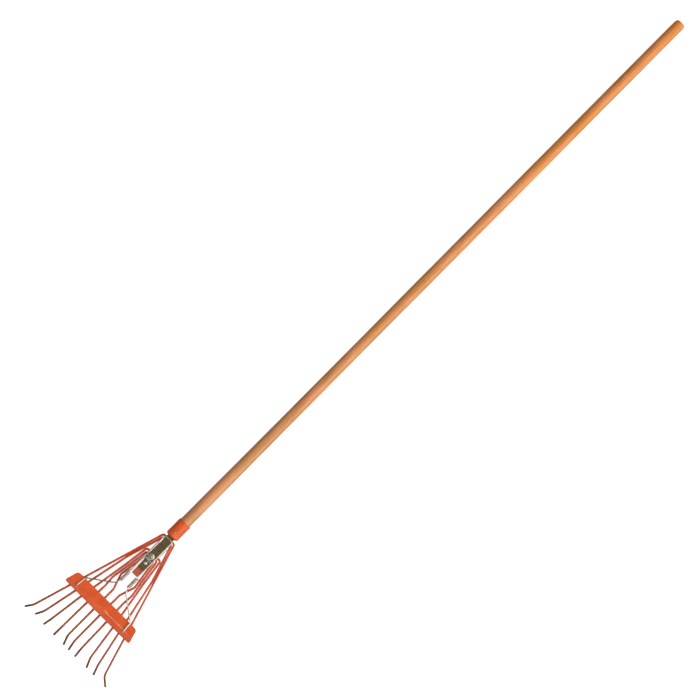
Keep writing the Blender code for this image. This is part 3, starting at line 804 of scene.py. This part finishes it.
def clamp_profile():
    """(D, z) along the plate's underside, with its lip, its run and its stepped foot."""
    lip = above_roots(CLAMP_TOP_D)
    corners = [
        (place(0, CLAMP_TOP_D, lip + CLAMP_LIP_HEIGHT), 0.0),
        (place(0, CLAMP_TOP_D, lip), 1.0 * MM),
        (place(0, CLAMP_FOOT_D[0], above_roots(CLAMP_FOOT_D[0])), 2.4 * MM),
        (place(0, CLAMP_FOOT_D[1], tongue_top(CLAMP_FOOT_D[1]) + GAP), 1.4 * MM),
        (place(0, CLAMP_END_D, tongue_top(CLAMP_END_D) + GAP), 0.0),
    ]
    points = round_corners(corners, 9.0)
    first, last = EAR_D
    slope_points = []
    for low, high in zip(points, points[1:]):
        slope_points.append(low)
        for d in (first, first + 1.2 * MM, 0.5 * (first + last), last - 1.2 * MM, last):
            if -low.y + 1e-6 < d < -high.y - 1e-6:
                slope_points.append(low.lerp(high, (d + low.y) / (low.y - high.y)))
    slope_points.append(points[-1])
    return slope_points


def ear_section():
    """(x, drop) from the plate's edge out along an ear and down its folded side."""
    bend = 1.3 * MM
    points = [(CLAMP_HALF_WIDTH + 0.8 * MM, 0.0)]
    for u, v in arc((EAR_HALF_WIDTH - bend, bend), bend, 270.0, 360.0, 5):
        points.append((u, v))
    points.append((EAR_HALF_WIDTH, 0.55 * EAR_DROP))
    points.append((EAR_HALF_WIDTH, EAR_DROP - 0.4 * MM))
    return points


def make_clamp_plate(material):
    """Pressed and plated strip, 1.4 mm thick, with rounded folds and softened edges."""
    bm = bmesh.new()
    rows = []
    for point in clamp_profile():
        rows.append([bm.verts.new(Vector((side * CLAMP_HALF_WIDTH, point.y, point.z))) for side in (-1, 1)])
    for low, high in zip(rows, rows[1:]):
        bm.faces.new((low[0], low[1], high[1], high[0]))
    beside = [row for row in rows if EAR_D[0] - 1e-5 < -row[0].co.y < EAR_D[1] + 1e-5]
    for side, column in ((-1, 0), (1, 1)):
        edge = [row[column] for row in beside]
        section = ear_section()
        for i, (x, drop) in enumerate(section):
            last = i == len(section) - 1
            new = []
            for k, row in enumerate(beside):
                y = row[column].co.y
                if last and k in (0, len(beside) - 1):
                    y += math.copysign(0.9 * MM, beside[2][column].co.y - y)
                new.append(bm.verts.new(Vector((side * x, y, row[column].co.z - drop))))
            for k in range(len(edge) - 1):
                bm.faces.new((edge[k], edge[k + 1], new[k + 1], new[k]))
            edge = new
    bmesh.ops.recalc_face_normals(bm, faces=bm.faces)
    between_ears = place(0.0, 0.5 * (EAR_D[0] + EAR_D[1]), above_roots(EAR_D[0]))
    middle = min(bm.faces, key=lambda face: (face.calc_center_median() - between_ears).length)
    if middle.normal.z < 0.0:
        bmesh.ops.reverse_faces(bm, faces=bm.faces)
    bmesh.ops.solidify(bm, geom=bm.faces[:], thickness=-CLAMP_THICKNESS)
    plate = solid_piece(bm, "clamp_plate_pressing", material, 30.0)
    bevel(plate, 0.28 * MM, 3, 50.0)
    apply_modifiers(plate)
    renew_rest(plate)
    return settle(plate, "clamp_plate", "root")


def make_bolt(material, washer_z):
    """Round-headed bolt whose threaded end stands out of the nut."""
    under = tongue_top(BOLT_D) - TONGUE_THICKNESS - 2.0 * GAP
    tip = washer_z + WASHER_THICKNESS + GAP + NUT_HEIGHT + 1.6 * MM
    profile = [(-along, radius) for along, radius in reversed(head_profile(0.0, *BOLT_HEAD))]
    profile.append((0.0, BOLT_R))
    pitch = 1.0 * MM
    turns = 9
    thread_root = BOLT_R - 0.45 * MM
    thread_start = tip - under - 0.7 * MM - turns * pitch
    for i in range(turns):
        base = thread_start + i * pitch
        profile += [(base, thread_root), (base + 0.42 * pitch, BOLT_R), (base + 0.58 * pitch, BOLT_R)]
    profile += [(tip - under - 0.7 * MM, thread_root), (tip - under, BOLT_R - 0.9 * MM)]
    turned = lathe(profile, place(0, BOLT_D, under), UP, 48)
    bolt = solid_piece(turned, "clamp_bolt_threaded", material, 28.0)
    return settle(bolt, "clamp_bolt", "root")


def make_washer(material, washer_z):
    inner = BOLT_R + GAP
    edge = 0.25 * MM
    top = WASHER_THICKNESS
    profile = [(edge, inner), (0.0, inner + edge), (0.0, WASHER_R - edge), (edge, WASHER_R),
               (top - edge, WASHER_R), (top, WASHER_R - edge), (top, inner + edge), (top - edge, inner)]
    washer = lathe(profile, place(0, BOLT_D, washer_z), UP, 64, closed=True)
    ring = solid_piece(washer, "clamp_washer_ring", material, 50.0)
    return settle(ring, "clamp_washer", "root")


def hexagon_radius(angle, across_flats):
    """Distance from the middle of a hexagon to its outline at an angle."""
    turn = math.radians(60.0)
    return 0.5 * across_flats / math.cos((angle + turn / 2.0) % turn - turn / 2.0)


def make_nut(material, nut_z):
    """Hexagon nut: both ends turned to a cone, and a countersunk threaded hole."""
    sides = 96
    corner_r = NUT_ACROSS_FLATS / math.sqrt(3.0)
    hole = BOLT_R + GAP
    turned = []
    for t in (0.0, 0.25, 0.5, 0.75, 1.0):
        turned.append((0.9 * MM * t, corner_r * (0.865 + 0.14 * t)))
    levels = turned + [(NUT_HEIGHT - z, r) for z, r in reversed(turned)]
    rings = []
    for z, limit in levels:
        ring = []
        for i in range(sides):
            angle = 2.0 * math.pi * i / sides
            radius = min(hexagon_radius(angle, NUT_ACROSS_FLATS), limit)
            ring.append(place(radius * math.cos(angle), BOLT_D + radius * math.sin(angle), nut_z + z))
        rings.append(ring)
    sink = 0.5 * MM
    wide = hole + sink
    for z, radius in ((NUT_HEIGHT, wide), (NUT_HEIGHT - sink, hole), (sink, hole), (0.0, wide)):
        centre = place(0, BOLT_D, nut_z + z)
        rings.append(circle(centre, radius, Vector((1, 0, 0)), Vector((0, -1, 0)), sides))
    nut = solid_piece(loft(rings, closed=True), "clamp_nut_hex", material, 24.0)
    return settle(nut, "clamp_nut", "root")


def make_rivet(material):
    bottom = tongue_top(RIVET_D) - TONGUE_THICKNESS - GAP
    top = tongue_top(RIVET_D) + GAP + CLAMP_THICKNESS + GAP
    shank = 1.9 * MM
    profile = [(-along, radius) for along, radius in reversed(head_profile(0.0, *RIVET_HEAD))]
    profile += [(0.0, shank), (top - bottom, shank)]
    profile += head_profile(top - bottom, *RIVET_HEAD)
    rivet = solid_piece(lathe(profile, place(0, RIVET_D, bottom), UP, 48), "clamp_rivet_heads", material)
    return settle(rivet, "clamp_rivet", "root")


def tine_corners(route, side, heading_degrees):
    root_d, corners, corner_x = TINE_ROUTES[route]
    leg_x = ROOT_LEG_X[0 if route in ("outer", "second") else 1]
    path = [(leg_x, root_d, 0.0), (corner_x, root_d, ROOT_CORNER_R), *corners]
    points = [(place(side * x * MM, d * MM, 0.0), radius * MM) for x, d, radius in path]
    hook = points[-1][0]
    points[-1] = (hook, HOOK_BEND_R * MM)
    heading = math.radians(heading_degrees)
    reach = Vector((side * math.sin(heading), -math.cos(heading), 0.0)) * HOOK_REACH
    points.append((hook + reach - UP * HOOK_DEPTH, 0.0))
    return points


def path_length(points):
    return sum((high - low).length for low, high in zip(points, points[1:]))


def make_tine(name, route, side, heading_degrees):
    """One hooked wire, held at its root."""
    points = fill_runs(round_corners(tine_corners(route, side, heading_degrees)))
    mesh = wire_mesh(points, TINE_R, TINE_SIDES, name + "_wire", 0.45 * MM)
    tine = link(mesh, name + "_wire", tine_paint_material(path_length(points) / MM))
    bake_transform(tine)
    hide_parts(name)
    return tine


def tine_x_at(d, route, side, heading_degrees):
    path = round_corners(tine_corners(route, side, heading_degrees))
    for low, high in zip(path, path[1:]):
        if -low.y <= d < -high.y:
            return low.x + (high.x - low.x) * (d + low.y) / (low.y - high.y)
    raise ValueError("the tine does not reach this far down")


def coil_points(side):
    """A close coil about an axis along the handle, with open turns leading in and out."""
    entry_z = brace_z(COIL_START_D)
    centre_z = entry_z - math.sqrt(COIL_MEAN_R ** 2 - (COIL_CENTRE_X - BRACE_HALF_WIDTH * MM) ** 2)
    entry = math.atan2(entry_z - centre_z, BRACE_HALF_WIDTH * MM - COIL_CENTRE_X)
    turns = COIL_DENSE_TURNS + 2.0 * COIL_RAMP_TURNS
    steps = round(turns * 30)
    points = []
    d = COIL_START_D
    for i in range(steps + 1):
        angle = entry - 2.0 * math.pi * turns * i / steps
        x = COIL_CENTRE_X + COIL_MEAN_R * math.cos(angle)
        points.append(place(side * x, d, centre_z + COIL_MEAN_R * math.sin(angle)))
        middle = turns * (i + 0.5) / steps
        ramp = max(0.0, 1.0 - min(middle, turns - middle) / COIL_RAMP_TURNS)
        d += (COIL_PITCH + (COIL_RAMP_PITCH - COIL_PITCH) * ramp ** 2) * turns / steps
    return points


def brace_half(side):
    """From the middle of the loop to the end of one hook."""
    coil = coil_points(side)
    loop_z = brace_z(BRACE_LOOP_D * MM)
    start = [
        (place(0, BRACE_LOOP_D * MM, loop_z), 0.0),
        (place(side * BRACE_HALF_WIDTH * MM, BRACE_LOOP_D * MM, loop_z), 3.0 * MM),
        (coil[0], 0.0),
    ]
    bend_x, bend_d = BRACE_BEND
    bar_x, bar_d = BRACE_AT_BAR
    hook_x, hook_d = BRACE_HOOK
    leg = [
        (coil[-1], 0.0),
        (place(side * bend_x * MM, bend_d * MM, coil[-1].z), 4.0 * MM),
        (place(side * bar_x * MM, bar_d * MM, BAR_EDGE_Z + BRACE_R + 2.0 * GAP), 5.0 * MM),
        (place(side * hook_x * MM, hook_d * MM, BAR_RIDGE_Z + BRACE_R + 1.2 * MM), 2.2 * MM),
        (place(side * hook_x * MM, hook_d * MM, -1.0 * MM), 0.0),
    ]
    straight = fill_runs(round_corners(start))
    reach = fill_runs(round_corners(leg))
    return straight + coil[1:] + reach[1:]


def make_spring_brace(material):
    """One wire: a loop over the plate, a coil on each side and a hook into the bar."""
    points = brace_half(-1)[::-1] + brace_half(1)[1:]
    mesh = wire_mesh(points, BRACE_R, BRACE_SIDES, "spring_brace_wire", 0.3 * MM)
    brace = link(mesh, "spring_brace_wire", material)
    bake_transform(brace)
    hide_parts("spring_brace")
    return brace


def bar_section():
    """(D, z) along the bar's outer face, flange to flange, with rounded folds."""
    upper, ridge, lower = BAR_D
    corners = [
        (place(0, upper, BAR_FLANGE_Z), 0.0),
        (place(0, upper, BAR_EDGE_Z), 1.9 * MM),
        (place(0, ridge, BAR_RIDGE_Z), 7.0 * MM),
        (place(0, lower, BAR_EDGE_Z), 1.9 * MM),
        (place(0, lower, BAR_FLANGE_Z), 0.0),
    ]
    return fill_runs(round_corners(corners, 8.0), 1.5 * MM)


def bar_half_length(d, z):
    """The bar's ends slant, and their corners are rounded in plan and at the flanges."""
    upper, _, lower = BAR_D
    corner = 4.5 * MM
    share = (d - upper) / (lower - upper)
    half_length = BAR_HALF_LENGTH[0] + (BAR_HALF_LENGTH[1] - BAR_HALF_LENGTH[0]) * share
    from_edge = min(d - upper, lower - d)
    if from_edge < corner:
        half_length -= corner - math.sqrt(corner ** 2 - (corner - from_edge) ** 2)
    flange = max(0.0, BAR_EDGE_Z - 1.9 * MM - z)
    return half_length - 0.12 * flange


def make_spreader_bar(material):
    """Pressed channel with a rounded crease, tine holes in both flanges and two hook holes."""
    columns = 96
    bm = bmesh.new()
    rows = []
    for point in bar_section():
        half_length = bar_half_length(-point.y, point.z)
        rows.append([bm.verts.new(Vector((half_length * (2.0 * i / columns - 1.0), point.y, point.z)))
                     for i in range(columns + 1)])
    for low, high in zip(rows, rows[1:]):
        for i in range(columns):
            bm.faces.new((low[i], low[i + 1], high[i + 1], high[i]))
    bmesh.ops.recalc_face_normals(bm, faces=bm.faces)
    top = max(bm.faces, key=lambda f: f.calc_center_median().z)
    if top.normal.z < 0.0:
        bmesh.ops.reverse_faces(bm, faces=bm.faces)
    bmesh.ops.solidify(bm, geom=bm.faces[:], thickness=BAR_THICKNESS)
    bar = solid_piece(bm, "spreader_bar_pressing", material, 30.0)
    bevel(bar, 0.3 * MM, 3, 60.0)
    apply_modifiers(bar)
    holes = bmesh.new()
    half_depth = 2.0 * BAR_THICKNESS
    for flange_d in (BAR_D[0] + BAR_THICKNESS / 2.0, BAR_D[2] - BAR_THICKNESS / 2.0):
        for _, route, side, heading_degrees in TINES:
            centre = place(tine_x_at(flange_d, route, side, heading_degrees), flange_d, 0.0)
            drill = [(along, TINE_HOLE_R) for along in (-half_depth, half_depth)]
            lathe(drill, centre, Vector((0, 1, 0)), 32, bm=holes)
    for side in (-1, 1):
        centre = place(side * BRACE_HOOK[0] * MM, BRACE_HOOK[1] * MM, BAR_RIDGE_Z)
        lathe([(along, BRACE_HOLE_R) for along in (-4.0 * MM, 4.0 * MM)], centre, UP, 32, bm=holes)
    cut(bar, holes)
    renew_rest(bar)
    bar.data.shade_smooth()
    bar.data.set_sharp_from_angle(angle=math.radians(30.0))
    return settle(bar, "spreader_bar", "fan")


# ---------------------------------------------------------------------------- stage and camera
def make_floor():
    """A wide pale sheet just under the rake."""
    lowest = CAD_BOX[0][2]
    half = 30.0
    bm = bmesh.new()
    corners = ((-half, -half), (half, -half), (half, half), (-half, half))
    bm.faces.new([bm.verts.new((x, y, lowest - 0.2 * MM)) for x, y in corners])
    mesh = bpy.data.meshes.new("floor")
    bm.to_mesh(mesh)
    bm.free()
    mesh.materials.append(floor_material())
    floor = add_object("floor", mesh)
    floor.visible_diffuse = False
    floor.visible_glossy = False


def make_world():
    """A studio shaded from bright on the +X side to dark on the other, dark overhead and below.

    The dark patch overhead is what flat plated parts mirror. SKY_QUARTERS darkens the two quarters
    where x and y differ in sign, so that the brace's two legs mirror different skies.
    """
    world = bpy.data.worlds.new("studio")
    bpy.context.scene.world = world
    n = Nodes(world)
    direction = n.add("ShaderNodeTexCoord").outputs["Generated"]
    across, along, upward = n.split(direction)
    tilt = math.radians(CAMERA_TILT)
    overhead = n.add("ShaderNodeVectorMath", operation="DOT_PRODUCT")
    overhead.inputs[1].default_value = (-math.sin(tilt), 0.0, math.cos(tilt))
    n.wire(direction, overhead.inputs[0])
    colour = n.ramp(n.span(across, -1.0, 1.0), SKY_ACROSS)
    for value, low, high, stops in (
            (upward, -1.0, 1.0, SKY_UP),
            (n.times(across, along), -0.5, 0.5, SKY_QUARTERS),
            (along, -1.0, 1.0, SKY_ALONG),
            (overhead.outputs["Value"], 0.0, 1.0, SKY_OVERHEAD)):
        colour = n.mix(1.0, colour, n.ramp(n.span(value, low, high), stops), "MULTIPLY")
    background = n.tree.nodes["Background"]
    n.wire(colour, background.inputs["Color"])
    background.inputs["Strength"].default_value = WORLD_STRENGTH


def make_camera():
    """Looks straight down on the rake from far off, the handle running up to the right."""
    tilt = math.radians(CAMERA_TILT)
    roll = math.radians(CAMERA_ROLL)
    across = Vector((math.cos(tilt), 0.0, -math.sin(tilt)))
    along = Vector((0.0, 1.0, 0.0))
    right = across * math.sin(roll) + along * math.cos(roll)
    up = along * math.sin(roll) - across * math.cos(roll)
    back = right.cross(up)
    target = row_point(CAMERA_TARGET[0], CAMERA_TARGET[1], 0.0)
    distance = VIEW_WIDTH * LENS_MM / SENSOR_MM
    camera = bpy.data.cameras.new("camera")
    camera.lens = LENS_MM
    camera.sensor_width = SENSOR_MM
    camera.clip_start = 0.1
    camera.clip_end = 100.0
    obj = add_object("camera", camera)
    rotation = Matrix((right, up, back)).transposed().to_4x4()
    obj.matrix_world = Matrix.Translation(target + back * distance) @ rotation
    bpy.context.scene.camera = obj
    return right, up


def make_lights(right, up):
    """A broad soft key low on the picture's lower right, and a weak fill opposite."""
    for name, (rightward, topward, height), size, power, colour in LIGHTS:
        light = bpy.data.lights.new(name, "AREA")
        light.shape = "DISK"
        light.size = size
        light.energy = power
        light.color = colour
        offset = right * rightward + up * topward + UP * height
        obj = add_object(name, light)
        obj.location = row_point(0.0, LIGHTS_D, 0.0) + offset
        obj.rotation_mode = "QUATERNION"
        obj.rotation_quaternion = (-offset).to_track_quat("-Z", "Y")
        obj.visible_camera = False


def set_view():
    settings = bpy.context.scene.view_settings
    settings.view_transform = "Standard"
    settings.look = "None"
    settings.exposure = 0.0


def main():
    right, up = make_camera()
    set_view()
    make_world()
    make_floor()
    make_lights(right, up)

    wood = wood_material()
    # The socket's paint carries lengthwise streaks of painted highlight.
    socket_paint = orange_paint_material("orange_paint", streaked_to=TONGUE_END_D / MM)
    # The bar's paint carries a painted highlight along its crease.
    bar_paint = orange_paint_material("orange_paint_bar", BAR_D[1] / MM)
    plated = plated_material()
    zinc = zinc_material("zinc_steel")
    washer_z = above_roots(BOLT_D) + CLAMP_THICKNESS + 2.0 * GAP

    make_handle(wood)
    make_ferrule(socket_paint)
    make_nail(zinc_material("tarnished_zinc", 0.85))
    make_clamp_plate(plated)
    make_bolt(zinc, washer_z)
    make_washer(zinc, washer_z)
    make_nut(zinc, washer_z + WASHER_THICKNESS + GAP)
    make_rivet(zinc)
    make_spreader_bar(bar_paint)
    make_spring_brace(plated)
    for tine in TINES:
        make_tine(*tine)


main()
